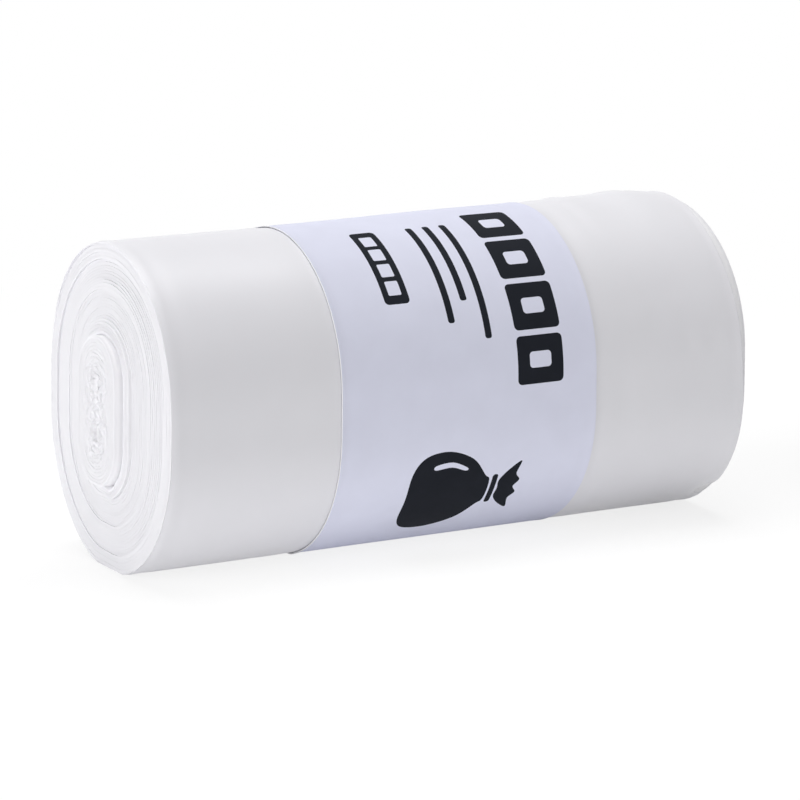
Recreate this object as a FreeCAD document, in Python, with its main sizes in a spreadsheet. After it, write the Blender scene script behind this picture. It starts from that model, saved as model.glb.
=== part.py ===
import FreeCAD, Part
import math
import os
import Sketcher

# A roll of bin bags lying on its side, held by a paper band. Millimetres. The roll's axis is X, Z is up,
# and the origin is the middle of the flat spot on which the soft roll rests. The bags are one long strip
# of film, folded to a third of their width and wound up with no tube. The winding starts on a strip
# folded flat, so each turn is two half circles joined by short straight runs. Some turns have slid along
# the axis, so they stand out of one end and lie as deep in the other.

SIZES = [
    ("roll_length", 210.0, "width of the folded strip, a third of a 630 mm bag"),
    ("roll_width", 94.0, "width of the roll across its straight runs"),
    ("winding_flat", 12.0, "straight run in each half turn, left by the flat start"),
    ("rest_sag", 1.2, "how far the soft roll settles onto the surface"),
    ("rim_wall", 6.3, "outermost turns, wound tight at the full length"),
    ("turn_pitch", 4.5, "distance between two turns that show at the end"),
    ("turn_gap", 0.7, "open gap between two such turns"),
    ("gap_depth", 6.0, "how far the gaps can be seen into the end"),
    ("start_radius", 6.2, "half the thickness of the crumpled start of the strip"),
    ("plug_radius", 17.0, "radius of the innermost turns, which have slid out together"),
    ("plug_slide", 4.4, "how far the innermost turns have slid out of the near end"),
    ("plug_gap", 1.7, "gap left around the innermost turns"),
    ("mid_radius", 22.0, "radius of the turns around them, which have slid out less"),
    ("mid_slide", 1.7, "how far those turns have slid out of the near end"),
    ("outer_slide", 1.1, "how far the turns between those and the rim have slid into the near end"),
    ("edge_wander", 0.35, "unevenness of the slide from one half turn to the next"),
    ("hollow_length", 4.6, "length of a hollow between the folds of the start"),
    ("hollow_width", 1.7, "width of such a hollow"),
    ("hollow_depth", 8.0, "depth of such a hollow"),
    ("band_width", 93.0, "width of the paper band along the roll"),
    ("band_place", 1.0, "how far the band's middle lies from the roll's, towards the near end"),
    ("band_thickness", 0.2, "thickness of the paper"),
    ("band_clearance", 0.05, "play between the paper and the film"),
    ("lap_length", 15.0, "glued lap of the paper band"),
    ("lap_ramp", 2.0, "length over which the lap climbs onto the paper's hidden end"),
    ("lap_place", 12.0, "degrees from the back of the roll up to the lap's free edge"),
]

# The slide of the half turns wanders by a sine of this step, in radians, so that no order shows.
WANDER_STEP = 2.4
# Hollows in the crumpled start: height above its middle in hollow lengths, and lean in degrees.
HOLLOWS = [(-1.2, 12.0), (-0.1, -24.0), (1.1, 18.0)]

# Sketcher's numbers for the points of a line or arc, and for a sketch's own axes.
START, END, CENTRE = range(1, 4)
FLAT_AXIS, UPRIGHT_AXIS = range(-1, -3, -1)
ORIGIN = FLAT_AXIS

doc = FreeCAD.newDocument("BinBagRoll")
sheet = doc.addObject("Spreadsheet::Sheet", "Sizes")


def fill_sheet():
    """Writes each size to its own cell, with its alias and what it means."""
    for row, (alias, value, meaning) in enumerate(SIZES, start=1):
        sheet.set("A%d" % row, alias)
        sheet.set("B%d" % row, str(value))
        sheet.set("C%d" % row, meaning)
        sheet.setAlias("B%d" % row, alias)
    doc.recompute()


def size(alias):
    """The size that the sheet holds under this alias."""
    return float(getattr(sheet, alias))


def new_sketch(body, name, role, offset_text=None):
    """An empty sketch on one of the body's origin planes, moved along the plane's normal if asked."""
    plane = next(o for o in body.Origin.OriginFeatures if o.Role == role)
    sketch = body.newObject("Sketcher::SketchObject", name)
    sketch.AttachmentSupport = [(plane, "")]
    sketch.MapMode = "FlatFace"
    if offset_text:
        sketch.setExpression("AttachmentOffset.Base.z", offset_text)
    return sketch


def bind(sketch, name, expression, *constraint):
    """Adds a dimension to the sketch, names it and binds its value to the sheet."""
    sketch.renameConstraint(sketch.addConstraint(Sketcher.Constraint(*constraint)), name)
    sketch.setExpression("Constraints." + name, expression)


def point(across, up):
    """A point of a sketch, which lies across the roll."""
    return FreeCAD.Vector(across, up, 0)


def arc(across, up, radius, first, last):
    """An arc of a sketch, from the first angle to the last, in radians."""
    return Part.ArcOfCircle(Part.Circle(point(across, up), FreeCAD.Vector(0, 0, 1), radius), first, last)


def low_centre():
    """Height of the centre of the lower half circles."""
    return size("roll_width") / 2 - size("rest_sag")


def resting_outline(sketch, prefix, radius, radius_text, foot, foot_text):
    """Draws the section of a resting roll: two half circles, two straight runs and a flat foot.

    radius is that of the half circles, and foot is the height of the lower centre above the flat."""
    low = low_centre()
    high = low + size("winding_flat")
    half_foot = math.sqrt(radius**2 - foot**2)
    down = 1.5 * math.pi
    spread = math.acos(foot / radius)
    top, left, low_left, flat, low_right, right = sketch.addGeometry(
        [
            arc(0, high, radius, 0, math.pi),
            Part.LineSegment(point(-radius, high), point(-radius, low)),
            arc(0, low, radius, math.pi, down - spread),
            Part.LineSegment(point(-half_foot, low - foot), point(half_foot, low - foot)),
            arc(0, low, radius, down + spread, 2 * math.pi),
            Part.LineSegment(point(radius, low), point(radius, high)),
        ],
        False,
    )
    for constraint in (
        ("Tangent", top, END, left, START),
        ("Tangent", left, END, low_left, START),
        ("Coincident", low_left, END, flat, START),
        ("Coincident", flat, END, low_right, START),
        ("Tangent", low_right, END, right, START),
        ("Tangent", right, END, top, START),
        ("PointOnObject", top, CENTRE, UPRIGHT_AXIS),
        ("PointOnObject", low_left, CENTRE, UPRIGHT_AXIS),
        ("Coincident", low_right, CENTRE, low_left, CENTRE),
        ("Vertical", left),
        ("Horizontal", flat),
        ("Equal", low_left, low_right),
    ):
        sketch.addConstraint(Sketcher.Constraint(*constraint))
    bind(sketch, prefix + "_radius", radius_text, "Radius", top, radius)
    bind(sketch, prefix + "_straight", "Sizes.winding_flat",
         "DistanceY", low_left, CENTRE, top, CENTRE, high - low)
    bind(sketch, prefix + "_low_centre", "Sizes.roll_width / 2 - Sizes.rest_sag",
         "DistanceY", ORIGIN, START, low_left, CENTRE, low)
    bind(sketch, prefix + "_foot", foot_text, "DistanceY", flat, START, low_left, CENTRE, foot)


def inside_of_rim(sketch):
    """Draws what the rim encloses: the outer side of the last gap, with the step where that gap ends."""
    shift = size("turn_pitch") / 4
    low = low_centre()
    high = low + size("winding_flat")
    radius = size("roll_width") / 2 - size("rim_wall") - shift
    low_radius = radius - 2 * shift
    top, left, step, bottom, right = sketch.addGeometry(
        [
            arc(-shift, high, radius, 0, math.pi),
            Part.LineSegment(point(-shift - radius, high), point(-shift - radius, low)),
            Part.LineSegment(point(-shift - radius, low), point(shift - low_radius, low)),
            arc(shift, low, low_radius, math.pi, 2 * math.pi),
            Part.LineSegment(point(shift + low_radius, low), point(shift + low_radius, high)),
        ],
        False,
    )
    for constraint in (
        ("Tangent", top, END, left, START),
        ("Coincident", left, END, step, START),
        ("Coincident", step, END, bottom, START),
        ("Tangent", bottom, END, right, START),
        ("Tangent", right, END, top, START),
        ("Vertical", left),
        ("Vertical", right),
        ("Horizontal", step),
        ("Horizontal", bottom, CENTRE, bottom, START),
    ):
        sketch.addConstraint(Sketcher.Constraint(*constraint))
    bind(sketch, "radius", "Sizes.roll_width / 2 - Sizes.rim_wall - Sizes.turn_pitch / 4",
         "Radius", top, radius)
    bind(sketch, "top_shift", "Sizes.turn_pitch / 4", "DistanceX", top, CENTRE, ORIGIN, START, shift)
    bind(sketch, "low_shift", "Sizes.turn_pitch / 4", "DistanceX", ORIGIN, START, bottom, CENTRE, shift)
    bind(sketch, "low_height", "Sizes.roll_width / 2 - Sizes.rest_sag",
         "DistanceY", ORIGIN, START, bottom, CENTRE, low)
    bind(sketch, "straight", "Sizes.winding_flat", "DistanceY", bottom, CENTRE, top, CENTRE, high - low)


def pad(body, sketch, name, length_text):
    """Pads the sketch to both sides of its plane."""
    feature = body.newObject("PartDesign::Pad", name)
    feature.Profile = sketch
    feature.Midplane = True
    feature.setExpression("Length", length_text)
    doc.recompute()
    return feature


def pocket(body, sketch, name, depth_text, along_normal):
    """Cuts the sketch into the body, along its plane's normal or against it, and makes sure it cut."""
    before = body.Shape.Volume
    feature = body.newObject("PartDesign::Pocket", name)
    feature.Profile = sketch
    feature.Reversed = along_normal
    feature.setExpression("Length", depth_text)
    doc.recompute()
    if not feature.Shape.Volume < before:
        raise RuntimeError(name + " cut nothing")
    return feature


def seat_outline(sketch):
    """Draws the place under the roll where the paper lies between the film and the surface."""
    half_length = size("band_width") / 2 + size("band_clearance")
    half_width = size("roll_width") / 4
    near_edge = -size("band_place") - half_length
    far_edge = half_length - size("band_place")
    corners = [
        point(near_edge, -half_width),
        point(far_edge, -half_width),
        point(far_edge, half_width),
        point(near_edge, half_width),
    ]
    front, far, back, near = sketch.addGeometry(
        [Part.LineSegment(a, b) for a, b in zip(corners, corners[1:] + corners[:1])], False
    )
    for constraint in (
        ("Coincident", front, END, far, START),
        ("Coincident", far, END, back, START),
        ("Coincident", back, END, near, START),
        ("Coincident", near, END, front, START),
        ("Horizontal", front),
        ("Horizontal", back),
        ("Vertical", near),
        ("Symmetric", far, START, far, END, FLAT_AXIS),
    ):
        sketch.addConstraint(Sketcher.Constraint(*constraint))
    bind(sketch, "length", "Sizes.band_width + 2 * Sizes.band_clearance",
         "DistanceX", front, START, front, END, 2 * half_length)
    bind(sketch, "place", "Sizes.band_width / 2 + Sizes.band_clearance - Sizes.band_place",
         "DistanceX", ORIGIN, START, far, START, far_edge)
    bind(sketch, "width", "Sizes.roll_width / 2", "DistanceY", far, START, far, END, 2 * half_width)


def wound_film():
    """The roll's film without the turns that show at its ends: the rim, and what the gaps don't reach."""
    body = doc.addObject("PartDesign::Body", "wound_film")
    section = new_sketch(body, "roll_section", "YZ_Plane")
    low = low_centre()
    resting_outline(section, "roll", size("roll_width") / 2, "Sizes.roll_width / 2",
                    low, "Sizes.roll_width / 2 - Sizes.rest_sag")
    pad(body, section, "full_length", "Sizes.roll_length")
    for name, side, along_normal in (("far_end", "", False), ("near_end", "-", True)):
        inside = new_sketch(body, name + "_section", "YZ_Plane", side + "Sizes.roll_length / 2")
        inside_of_rim(inside)
        pocket(body, inside, name, "Sizes.gap_depth", along_normal)
    seat = new_sketch(body, "band_seat_outline", "XY_Plane")
    seat_outline(seat)
    pocket(body, seat, "band_seat", "Sizes.band_thickness + Sizes.band_clearance", True)
    return body


def half_turn(radius, wall, over_the_top):
    """The section of half a turn: a half ring and the straight run that follows it.

    The half that runs under the roll is the other one turned by half a turn about the roll's middle."""
    shift = size("turn_pitch") / 4
    reach = size("winding_flat") / 2
    middle = low_centre() + reach
    side = 1 if over_the_top else -1

    def at(across, up):
        return FreeCAD.Vector(0, side * across, middle + side * up)

    inner = radius - wall
    edges = [
        Part.Arc(at(radius - shift, reach), at(-shift, reach + radius), at(-shift - radius, reach)).toShape(),
        Part.makeLine(at(-shift - radius, reach), at(-shift - radius, -reach)),
        Part.makeLine(at(-shift - radius, -reach), at(-shift - inner, -reach)),
        Part.makeLine(at(-shift - inner, -reach), at(-shift - inner, reach)),
        Part.Arc(at(-shift - inner, reach), at(-shift, reach + inner), at(inner - shift, reach)).toShape(),
        Part.makeLine(at(inner - shift, reach), at(radius - shift, reach)),
    ]
    return Part.Face(Part.Wire(edges))


def along_the_roll(face, slide):
    """A piece of film as long as the strip is wide, slid towards the near end."""
    length = size("roll_length")
    face.translate(FreeCAD.Vector(-length / 2 - slide, 0, 0))
    return face.extrude(FreeCAD.Vector(length, 0, 0))


def slide_at(radius, count):
    """How far the half turn of this radius has slid out of the near end."""
    wander = size("edge_wander") * math.sin(WANDER_STEP * count)
    if radius < size("plug_radius"):
        return size("plug_slide") + wander
    if radius < size("mid_radius"):
        return size("mid_slide") + wander
    return wander - size("outer_slide")


def showing_turns():
    """The turns that show at the ends, as half turns from the outermost to the innermost."""
    pitch, gap = size("turn_pitch"), size("turn_gap")
    radius = size("roll_width") / 2 - size("rim_wall") - gap - pitch / 4
    smallest = size("start_radius") + gap + pitch / 4
    turns = []
    while radius - (pitch - gap) > smallest:
        wall = pitch - gap
        if size("plug_radius") <= radius < size("plug_radius") + pitch:
            wall = pitch - size("plug_gap")
        face = half_turn(radius, wall, len(turns) % 2 == 0)
        turns.append(along_the_roll(face, slide_at(radius, len(turns))))
        radius -= pitch / 2
    return turns


def start_section(middle):
    """The section of the strip's start, folded flat: two half circles and two straight runs."""
    radius = size("start_radius")
    reach = size("winding_flat") / 2
    edges = []
    for side in (1, -1):
        first, crown, last = [
            FreeCAD.Vector(0, side * across, middle + side * up)
            for across, up in ((radius, reach), (0, reach + radius), (-radius, reach))
        ]
        edges.append(Part.Arc(first, crown, last).toShape())
        edges.append(Part.makeLine(last, FreeCAD.Vector(0, -side * radius, middle - side * reach)))
    return Part.Face(Part.Wire(edges))


def hollow_section(height, lean):
    """The section of a hollow between two folds: pointed at both ends, leaning by some degrees."""
    low_tip, high_tip = [FreeCAD.Vector(0, 0, side * size("hollow_length") / 2) for side in (-1, 1)]
    left, right = [FreeCAD.Vector(0, side * size("hollow_width") / 2, 0) for side in (-1, 1)]
    edges = [Part.Arc(low_tip, left, high_tip).toShape(), Part.Arc(high_tip, right, low_tip).toShape()]
    face = Part.Face(Part.Wire(edges))
    face.rotate(FreeCAD.Vector(0, 0, 0), FreeCAD.Vector(1, 0, 0), lean)
    face.translate(FreeCAD.Vector(0, 0, height))
    return face


def strip_start():
    """The start of the strip in the middle of the roll, with the hollows of its folds at both ends."""
    middle = low_centre() + size("winding_flat") / 2
    slide = size("plug_slide")
    start = along_the_roll(start_section(middle), slide)
    for places, lean in HOLLOWS:
        face = hollow_section(middle + places * size("hollow_length"), lean)
        for end in (-1, 1):
            mouth = face.copy()
            mouth.translate(FreeCAD.Vector(end * size("roll_length") / 2 - slide, 0, 0))
            start = start.cut(mouth.extrude(FreeCAD.Vector(-end * size("hollow_depth"), 0, 0)))
    return start


def lap_outline(sketch):
    """Draws the glued lap: a square free edge, a second thickness of paper, and a ramp down to the band."""
    outside = size("roll_width") / 2 + size("band_clearance") + size("band_thickness")
    outer = outside + size("band_thickness")
    inner = outside - size("band_thickness") / 2
    high = low_centre() + size("winding_flat")
    first = math.radians(size("lap_place"))
    outer_last = first + size("lap_length") / outside
    inner_last = outer_last + 1.5 * size("lap_ramp") / outside

    def on(radius, angle):
        return point(radius * math.cos(angle), high + radius * math.sin(angle))

    under, edge, over, ramp = sketch.addGeometry(
        [
            arc(0, high, inner, first, inner_last),
            Part.LineSegment(on(inner, first), on(outer, first)),
            arc(0, high, outer, first, outer_last),
            Part.LineSegment(on(outer, outer_last), on(inner, inner_last)),
        ],
        False,
    )
    for constraint in (
        ("Coincident", under, CENTRE, over, CENTRE),
        ("PointOnObject", under, CENTRE, UPRIGHT_AXIS),
        ("Coincident", under, START, edge, START),
        ("Coincident", edge, END, over, START),
        ("Coincident", over, END, ramp, START),
        ("Coincident", ramp, END, under, END),
        ("PointOnObject", under, CENTRE, edge),
    ):
        sketch.addConstraint(Sketcher.Constraint(*constraint))
    outside_text = "(Sizes.roll_width / 2 + Sizes.band_clearance + Sizes.band_thickness)"
    bind(sketch, "centre_height", "Sizes.roll_width / 2 - Sizes.rest_sag + Sizes.winding_flat",
         "DistanceY", ORIGIN, START, under, CENTRE, high)
    bind(sketch, "inner_radius", outside_text + " - Sizes.band_thickness / 2", "Radius", under, inner)
    bind(sketch, "outer_radius", outside_text + " + Sizes.band_thickness", "Radius", over, outer)
    bind(sketch, "place", "Sizes.lap_place * 1 deg", "Angle", edge, first)
    bind(sketch, "length", "Sizes.lap_length / %s * 1 rad" % outside_text,
         "Angle", over, outer_last - first)
    bind(sketch, "length_with_ramp", "(Sizes.lap_length + 1.5 * Sizes.lap_ramp) / %s * 1 rad" % outside_text,
         "Angle", under, inner_last - first)


def paper_band():
    """The band of paper around the roll's middle, with its glued lap at the back."""
    body = doc.addObject("PartDesign::Body", "paper_band")
    section = new_sketch(body, "band_section", "YZ_Plane", "-Sizes.band_place")
    inside = size("roll_width") / 2 + size("band_clearance")
    low = low_centre()
    resting_outline(section, "outer", inside + size("band_thickness"),
                    "Sizes.roll_width / 2 + Sizes.band_clearance + Sizes.band_thickness",
                    low, "Sizes.roll_width / 2 - Sizes.rest_sag")
    resting_outline(section, "inner", inside, "Sizes.roll_width / 2 + Sizes.band_clearance",
                    low - size("band_thickness"),
                    "Sizes.roll_width / 2 - Sizes.rest_sag - Sizes.band_thickness")
    pad(body, section, "around_the_roll", "Sizes.band_width")
    lap = new_sketch(body, "lap_section", "YZ_Plane", "-Sizes.band_place")
    lap_outline(lap)
    pad(body, lap, "lap", "Sizes.band_width")
    return body


def bag_roll():
    """The whole roll of bags as one piece of film."""
    pieces = [wound_film()]
    for number, shape in enumerate(showing_turns() + [strip_start()], start=1):
        piece = doc.addObject("Part::Feature", "half_turn_%02d" % number)
        piece.Shape = shape
        pieces.append(piece)
    pieces[-1].Label = "strip_start"
    roll = doc.addObject("Part::MultiFuse", "bag_roll")
    roll.Shapes = pieces
    roll.Refine = True
    return roll


def check_all():
    """Stops if any step of the drawing failed."""
    for item in doc.Objects:
        if "Invalid" in item.State or "Error" in item.State:
            raise RuntimeError(item.Label + " failed")
        if hasattr(item, "Shape") and item.isDerivedFrom("Part::Feature"):
            if item.Shape.isNull() or not item.Shape.isValid():
                raise RuntimeError(item.Label + " has no good shape")


fill_sheet()
nodes = [bag_roll(), paper_band()]
doc.recompute()
check_all()
os.makedirs("parts", exist_ok=True)
for node in nodes:
    if len(node.Shape.Solids) != 1:
        raise RuntimeError(node.Label + " is not one solid")
    node.Shape.exportStep("parts/" + node.Label + ".step")
    box = node.Shape.BoundBox
    print("%s: %.1f x %.1f x %.1f mm, %.0f mm3" % (
        node.Label, box.XLength, box.YLength, box.ZLength, node.Shape.Volume))
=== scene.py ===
import math

import bpy
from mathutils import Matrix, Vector, noise
from mathutils.geometry import delaunay_2d_cdt


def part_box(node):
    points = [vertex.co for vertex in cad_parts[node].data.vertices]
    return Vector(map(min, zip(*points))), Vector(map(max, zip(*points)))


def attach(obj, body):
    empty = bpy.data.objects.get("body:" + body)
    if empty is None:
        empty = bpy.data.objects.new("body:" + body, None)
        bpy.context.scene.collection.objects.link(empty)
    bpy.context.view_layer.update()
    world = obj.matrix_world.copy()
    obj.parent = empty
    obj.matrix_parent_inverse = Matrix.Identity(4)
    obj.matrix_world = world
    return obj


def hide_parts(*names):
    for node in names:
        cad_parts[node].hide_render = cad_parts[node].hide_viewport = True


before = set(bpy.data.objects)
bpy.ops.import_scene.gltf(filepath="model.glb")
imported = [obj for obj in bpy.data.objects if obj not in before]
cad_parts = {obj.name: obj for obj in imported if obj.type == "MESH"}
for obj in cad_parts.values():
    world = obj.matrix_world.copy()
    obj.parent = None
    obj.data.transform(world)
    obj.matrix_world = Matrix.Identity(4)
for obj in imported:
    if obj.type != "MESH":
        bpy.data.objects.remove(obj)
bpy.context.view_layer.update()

# Camera
#
# It stands in front of the roll, to the left of it and a little above, so that the near end shows.
# Lengths in this script are in mm, up to where Blender takes them in metres.

MM = 0.001
CAMERA_PLACE = Vector((-473.1, -842.8, 248.9)) * MM
CAMERA_YAW = -0.5109
CAMERA_PITCH = -0.2091


def put_in_scene(name, data):
    """A new object with this data, in the scene."""
    thing = bpy.data.objects.new(name, data)
    bpy.context.scene.collection.objects.link(thing)
    return thing


camera_data = bpy.data.cameras.new("camera")
camera_data.sensor_width = 36
camera_data.lens = 135
camera_data.clip_start = 0.01
camera = put_in_scene("camera", camera_data)
camera.location = CAMERA_PLACE
camera.rotation_euler = (math.pi / 2 + CAMERA_PITCH, 0, CAMERA_YAW)
bpy.context.scene.camera = camera

# Wound turns
#
# The bags are one strip of milky polyethylene film, folded to a third of their width and wound up tight on
# its own crumpled start, with no tube. Turns that slid along the axis leave steps and open gaps at both
# ends. Each turn made here is a bundle of about six real ones.

roll_low, roll_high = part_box("bag_roll")
ROLL_WIDTH = (roll_high.y - roll_low.y) / MM
ROLL_HEIGHT = (roll_high.z - roll_low.z) / MM
ROLL_RADIUS = ROLL_WIDTH / 2
STRIP_WIDTH = 210.0
REST_SAG = 1.2
WINDING_FLAT = ROLL_HEIGHT - ROLL_WIDTH + REST_SAG
MIDDLE_HEIGHT = ROLL_RADIUS - REST_SAG + WINDING_FLAT / 2
LOOSE_FILM = 0.25
NEAR_LEAN = -0.04
FAR_LEAN = 0.025
END_TILT = 0.0106
BACK_RIM = 0.4
BUNDLES = 41
STEPS_PER_TURN = 96
POINTS_ROUND_FILM = 12
WINDING_END = 0.9
WIDE_GAPS_BELOW_RIM = (2.4, 9.7, 14.4, 18.8)
SINGLE_TURN_NOISE = 0.36
SHARP_ANGLE = math.radians(50)
NOISE_MIDDLE = 0.5
NOISE_SPREAD = 3.2


class Number:
    """A number that a node tree works out for every point. Sums written with it become Math nodes."""

    def __init__(self, tree, socket):
        self.tree = tree
        self.socket = socket

    def put(self, target):
        self.tree.links.new(self.socket, target)

    def math(self, operation, *others):
        node = self.tree.nodes.new("ShaderNodeMath")
        node.operation = operation
        for place, value in zip(node.inputs, (self,) + others):
            set_input(value, place)
        return Number(self.tree, node.outputs[0])

    def __add__(self, other):
        return self.math("ADD", other)

    def __sub__(self, other):
        return self.math("SUBTRACT", other)

    def __mul__(self, other):
        return self.math("MULTIPLY", other)

    def __truediv__(self, other):
        return self.math("DIVIDE", other)

    __radd__ = __add__
    __rmul__ = __mul__

    def __rsub__(self, other):
        return self * -1.0 + other

    def __neg__(self):
        return self * -1.0

    def sine(self):
        return self.math("SINE")

    def cosine(self):
        return self.math("COSINE")

    def clamped(self, low, high):
        return self.math("MAXIMUM", low).math("MINIMUM", high)

    def step(self, start, end):
        """0 before start, 1 after end, and a smooth rise between them."""
        node = self.tree.nodes.new("ShaderNodeMapRange")
        node.interpolation_type = "SMOOTHSTEP"
        for name, value in (("Value", self), ("From Min", start), ("From Max", end)):
            set_input(value, node.inputs[name])
        return Number(self.tree, node.outputs["Result"])


def set_input(value, place):
    """Links a Number to a socket, or sets the socket to a plain number."""
    if isinstance(value, Number):
        value.put(place)
    else:
        place.default_value = value


def vector_of(tree, x, y, z):
    """The socket of a vector made of three numbers."""
    node = tree.nodes.new("ShaderNodeCombineXYZ")
    for place, value in zip(node.inputs, (x, y, z)):
        set_input(value, place)
    return node.outputs[0]


def noise_at(tree, x, y, z, detail=1.0):
    """Smooth noise, mostly from -1 to 1, at the point x, y, z."""
    node = tree.nodes.new("ShaderNodeTexNoise")
    node.inputs["Scale"].default_value = 1.0
    node.inputs["Detail"].default_value = detail
    tree.links.new(vector_of(tree, x, y, z), node.inputs["Vector"])
    return (Number(tree, node.outputs[0]) - NOISE_MIDDLE) * NOISE_SPREAD


def wound_turns_tree():
    """Winds a flat tube of film into the roll: a spiral of half circles and straight runs."""
    tree = bpy.data.node_groups.new("wound_turns", "GeometryNodeTree")
    tree.interface.new_socket("Geometry", in_out="OUTPUT", socket_type="NodeSocketGeometry")
    group_in = tree.nodes.new("NodeGroupInput")
    group_out = tree.nodes.new("NodeGroupOutput")
    sizes = {
        "Outer Radius": ROLL_RADIUS - 2 * LOOSE_FILM - 0.07,
        "Start Radius": 0.8,
        "Straight Run": WINDING_FLAT,
        "Middle Height": MIDDLE_HEIGHT,
        "Strip Width": STRIP_WIDTH,
        "Turns": BUNDLES + WINDING_END,
        "Start Flat": 8.0,
        "Bundle Fill": 1.09,
        "Gap Share": 0.1,
        "Wide Gap": 3.5,
        "Gap Depth": 2.2,
        "Edge Bevel": 0.025,
        "Plug Radius": 14.0,
        "Plug Slide": 4.4,
        "Plug Gap": 0.5,
        "Plug Turns": 0.35,
        "Ring Radius": 18.5,
        "Ring Slide": 1.6,
        "Mid Slide": 0.6,
        "Groove Radius": 28.8,
        "Groove Step": 0.5,
        "Groove Turns": 1.5,
        "Rim Radius": 40.7,
        "Outer Slide": -1.0,
        "Step Turns": 0.4,
        "Back Rim": BACK_RIM,
        "Tight Rim": 4.0,
        "Calm Rim": 3.0,
        "Far Sag": 0.6,
        "Sag Start": 25.0,
        "Sag End": 43.0,
        "Slide Wander": 0.23,
        "Slide Flutter": 0.07,
        "Spacing Wander": 0.14,
        "Crumple Radius": 12.0,
        "Crumple Full": 3.0,
        "Crumple": 1.2,
        "Crumple Slide": 1.1,
        "Smooth Core": 3.0,
        "Hollow": 1.2,
        "Hollow Turns": 3.6,
        "Hollow Depth": 0.9,
        "Pocket Depth": 1.5,
        "Pocket Angle": 109.0,
        "Pocket Narrowness": 0.003,
        "Pocket Fade": 9.0,
        "Flat Squeeze": 0.85,
        "Near Lean": NEAR_LEAN,
        "Far Lean": FAR_LEAN,
        "End Tilt": END_TILT,
        "Seed": 3.0,
    }
    for name, value in sizes.items():
        socket = tree.interface.new_socket(name, in_out="INPUT", socket_type="NodeSocketFloat")
        socket.default_value = value
    steps = tree.interface.new_socket("Steps", in_out="INPUT", socket_type="NodeSocketInt")
    steps.default_value = round((BUNDLES + WINDING_END) * STEPS_PER_TURN)
    tree.interface.new_socket("Film", in_out="INPUT", socket_type="NodeSocketMaterial")
    given = {name: Number(tree, group_in.outputs[name]) for name in sizes}
    seed = given["Seed"]

    tube = tree.nodes.new("GeometryNodeMeshCylinder")
    tube.inputs["Vertices"].default_value = POINTS_ROUND_FILM
    tube.inputs["Radius"].default_value = 1.0
    tube.inputs["Depth"].default_value = 1.0
    tree.links.new(group_in.outputs["Steps"], tube.inputs["Side Segments"])
    position = tree.nodes.new("GeometryNodeInputPosition")
    split = tree.nodes.new("ShaderNodeSeparateXYZ")
    tree.links.new(position.outputs[0], split.inputs[0])
    tube_x, tube_y, tube_z = [Number(tree, output) for output in split.outputs]
    turn = (tube_z + 0.5) * given["Turns"]

    # Section of a bundle: bevelled edges, and a loop deeper in, where it lies on its neighbours.
    around_film = tube_y.math("ARCTAN2", tube_x) + math.pi / POINTS_ROUND_FILM
    lift = around_film.sine()
    end = around_film.cosine().math("SIGN")
    at_far_end = end * 0.5 + 0.5
    across = (lift * 2.1).clamped(-1.0, 1.0)
    deep = lift.math("ABSOLUTE").step(0.75, 0.95)
    inset = across.math("ABSOLUTE").step(0.6, 1.0) * given["Edge Bevel"] + deep * given["Gap Depth"]

    # Radius of the spiral. The last turn thins out, so that the roll ends round.
    pitch = (given["Outer Radius"] - given["Start Radius"]) / (given["Turns"] - 0.5)
    last = (turn - given["Turns"] + 1.0).clamped(0.0, 1.0)
    even = given["Start Radius"] + pitch * (turn - last * 0.5)

    # Each half turn is a straight run, a half circle and a straight run. The start was flatter than the
    # roll is now. upright goes from 0 in the middle of a straight run to 1 at its end, or to -1 below.
    rim_to_plug = given["Rim Radius"] - given["Plug Radius"]
    flatter = ((given["Rim Radius"] - even) / rim_to_plug).clamped(0.0, 1.0)
    straight = given["Straight Run"] + given["Start Flat"] * flatter
    half_turns = turn * 2.0
    below = half_turns.math("FLOOR").math("MODULO", 2.0)
    along_half = half_turns.math("FRACT")
    run_share = straight * 0.5 / (even * math.pi + straight)
    bend = ((along_half - run_share) / (1.0 - run_share * 2.0)).clamped(0.0, 1.0) + below
    ahead, up = (bend * math.pi).cosine(), (bend * math.pi).sine()
    upright = (along_half / run_share).math("MINIMUM", (1.0 - along_half) / run_share)
    upright = upright.clamped(0.0, 1.0) * (1.0 - below * 2.0)

    def after_turn_at(radius_name, turns_name):
        """0 up to the turn that starts at a radius, and 1 some part of a turn later."""
        start = (given[radius_name] - given["Start Radius"]) / pitch
        return turn.step(start, start + given[turns_name])

    def noise_round(scale, per_turn=0.0, offset=0.0, detail=1.0):
        """Noise that changes round the roll and from turn to turn."""
        return noise_at(tree, ahead * scale, up * scale, turn * per_turn + seed + offset, detail)

    # The gap around the innermost turns, with the pocket under them, and uneven spacing.
    opened = after_turn_at("Plug Radius", "Plug Turns")
    reach = given["Outer Radius"] - given["Tight Rim"] - given["Plug Radius"]
    left_over = ((given["Outer Radius"] - given["Tight Rim"] - even) / reach).clamped(0.0, 1.0)
    from_pocket = up.math("ARCTAN2", ahead) * (180 / math.pi) + given["Pocket Angle"]
    pocket = (from_pocket * from_pocket * -given["Pocket Narrowness"]).math("EXPONENT")
    pocket = pocket * given["Pocket Depth"] * left_over.math("POWER", given["Pocket Fade"])
    gap = given["Plug Gap"] * (noise_round(0.9) * 0.6 + 0.8)
    push = opened * (left_over * left_over * gap + pocket) * (1.0 - deep * 0.9)
    squeezed = opened * left_over * (gap * 2.0 + pocket * 6.0) / reach * (1.0 - deep)
    spacing = noise_round(0.7, per_turn=0.62, detail=2.0) * given["Spacing Wander"]
    calm = even.step(given["Outer Radius"], given["Outer Radius"] - given["Calm Rim"]) * even.step(1.5, 5.0)
    radius = even + push + spacing * calm

    # The crumpled start of the strip, with hollows between its folds.
    core = even.step(given["Crumple Radius"], given["Crumple Full"])
    flat_y, flat_z = ahead * radius, up * radius + upright * straight * 0.5

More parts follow.
